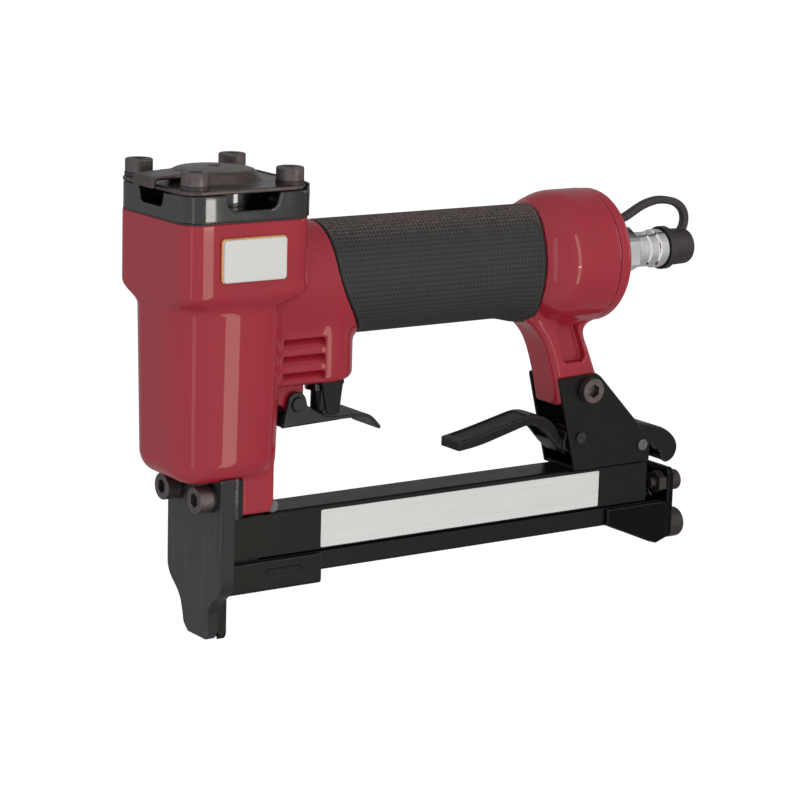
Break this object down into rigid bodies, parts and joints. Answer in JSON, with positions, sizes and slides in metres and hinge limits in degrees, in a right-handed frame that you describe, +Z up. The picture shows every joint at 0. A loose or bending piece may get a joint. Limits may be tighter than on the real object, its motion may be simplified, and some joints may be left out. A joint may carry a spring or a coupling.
{
  "type": "air stapler",
  "caption": "Compact air-powered fine-wire stapler: red cast body, rubber grip, finger trigger, bottom-loading magazine with sliding rail and latch, capped air plug.",
  "frame": {"origin": "centre of the staple exit slot in the bottom face of the nose tip, on the drive axis", "axes": "+X from the nose back towards the air inlet, +Z up along the drive axis, Y across the tool"},
  "size_m": [0.2128, 0.0457, 0.148],
  "materials": {
    "red_enamel": "gloss",
    "black_enamel": "satin",
    "black_gloss": "gloss",
    "black_oxide_steel": "satin",
    "bright_steel": "satin",
    "plate_steel": "satin",
    "chrome": "polished",
    "black_rubber": "matte",
    "grip_rubber": "matte",
    "brass": "satin",
    "sleeve_aluminium": "satin",
    "urethane": "satin",
    "nose_steel": "satin",
    "silver_plate": "satin",
    "white_enamel": "gloss",
    "gilt": "polished"
  },
  "bodies": {
    "housing": {"body_casting": "red_enamel", "end_cap": "red_enamel", "cap_gasket": "black_rubber", "cylinder_cap": "black_gloss", "exhaust_plate": "plate_steel", "cap_washers": "black_oxide_steel", "cap_screws": "black_oxide_steel", "cylinder_sleeve": "sleeve_aluminium", "cylinder_o_rings": "black_rubber", "bumper": "urethane", "head_valve_spring": "bright_steel", "handle_grip": "grip_rubber", "end_cap_o_ring": "black_rubber", "air_plug": "chrome", "tether_ring": "black_rubber", "tether_strap": "black_rubber", "badge_bezel": "gilt", "badge_plate": "white_enamel", "trigger_pin": "bright_steel", "trigger_guide": "black_enamel", "valve_body": "black_gloss", "valve_spring": "bright_steel", "nose_front_plate": "nose_steel", "nose_guide_plate": "nose_steel", "nose_shims": "bright_steel", "nose_washers": "black_oxide_steel", "nose_screws": "black_oxide_steel", "magazine_channel": "black_enamel", "magazine_label": "silver_plate", "front_guide": "black_enamel", "hanger_pin": "bright_steel", "rear_bracket": "black_enamel", "bracket_screw": "black_oxide_steel", "bracket_nut": "black_oxide_steel", "latch_pin": "bright_steel", "latch_stop_pin": "bright_steel", "latch_spring": "bright_steel"},
    "trigger": {"trigger": "black_oxide_steel"},
    "valve_stem": {"valve_stem": "brass", "valve_o_rings": "black_rubber"},
    "latch": {"latch_lever": "black_enamel"},
    "magazine_slide": {"slide_rail": "black_enamel", "staple_rail": "bright_steel", "slide_end_bracket": "black_enamel", "slide_end_screws": "black_oxide_steel", "slide_end_nuts": "black_oxide_steel", "slide_knob": "black_oxide_steel", "pusher_rod": "bright_steel", "pusher_spring": "bright_steel"},
    "pusher": {"pusher": "bright_steel"},
    "piston": {"piston": "sleeve_aluminium", "piston_o_ring": "black_rubber", "driver_blade": "bright_steel"},
    "head_valve": {"head_valve": "urethane", "head_valve_o_ring": "black_rubber"},
    "dust_cap": {"dust_cap": "black_rubber"}
  },
  "joints": [
    {"name": "trigger_pull", "type": "hinge", "parent": "housing", "child": "trigger", "pos_m": [0.0266, 0, 0.0721], "axis": [0, -1, 0], "range_deg": [0, 8], "stiffness_Nm_per_rad": 0.6, "springref_deg": -6.88},
    {"name": "valve_stem_lift", "type": "slide", "parent": "housing", "child": "valve_stem", "axis": [0, 0, 1], "range_m": [0, 0.00188], "deforming": ["valve_spring"]},
    {"name": "latch_press", "type": "hinge", "parent": "housing", "child": "latch", "pos_m": [0.1379, 0, 0.0497], "axis": [0, -1, 0], "range_deg": [0, 8], "stiffness_Nm_per_rad": 0.8, "springref_deg": -11.46, "deforming": ["latch_spring"]},
    {"name": "magazine_pull", "type": "slide", "parent": "housing", "child": "magazine_slide", "axis": [1, 0, 0], "range_m": [0, 0.1]},
    {"name": "pusher_travel", "type": "slide", "parent": "magazine_slide", "child": "pusher", "axis": [1, 0, 0], "range_m": [0, 0.09], "stiffness_N_per_m": 20, "springref_m": -0.15, "deforming": ["pusher_spring"]},
    {"name": "drive_stroke", "type": "slide", "parent": "housing", "child": "piston", "axis": [0, 0, -1], "range_m": [0, 0.0384]},
    {"name": "head_valve_lift", "type": "slide", "parent": "housing", "child": "head_valve", "axis": [0, 0, 1], "range_m": [0, 0.0025], "stiffness_N_per_m": 2000, "springref_m": -0.003, "deforming": ["head_valve_spring"]},
    {"name": "dust_cap_pull", "type": "slide", "parent": "housing", "child": "dust_cap", "axis": [1, 0, 0], "range_m": [0, 0.014], "deforming": ["tether_strap"]}
  ],
  "couplings": [
    {"joint": "trigger_pull", "follows": "valve_stem_lift", "rad_per_m": 74}
  ]
}
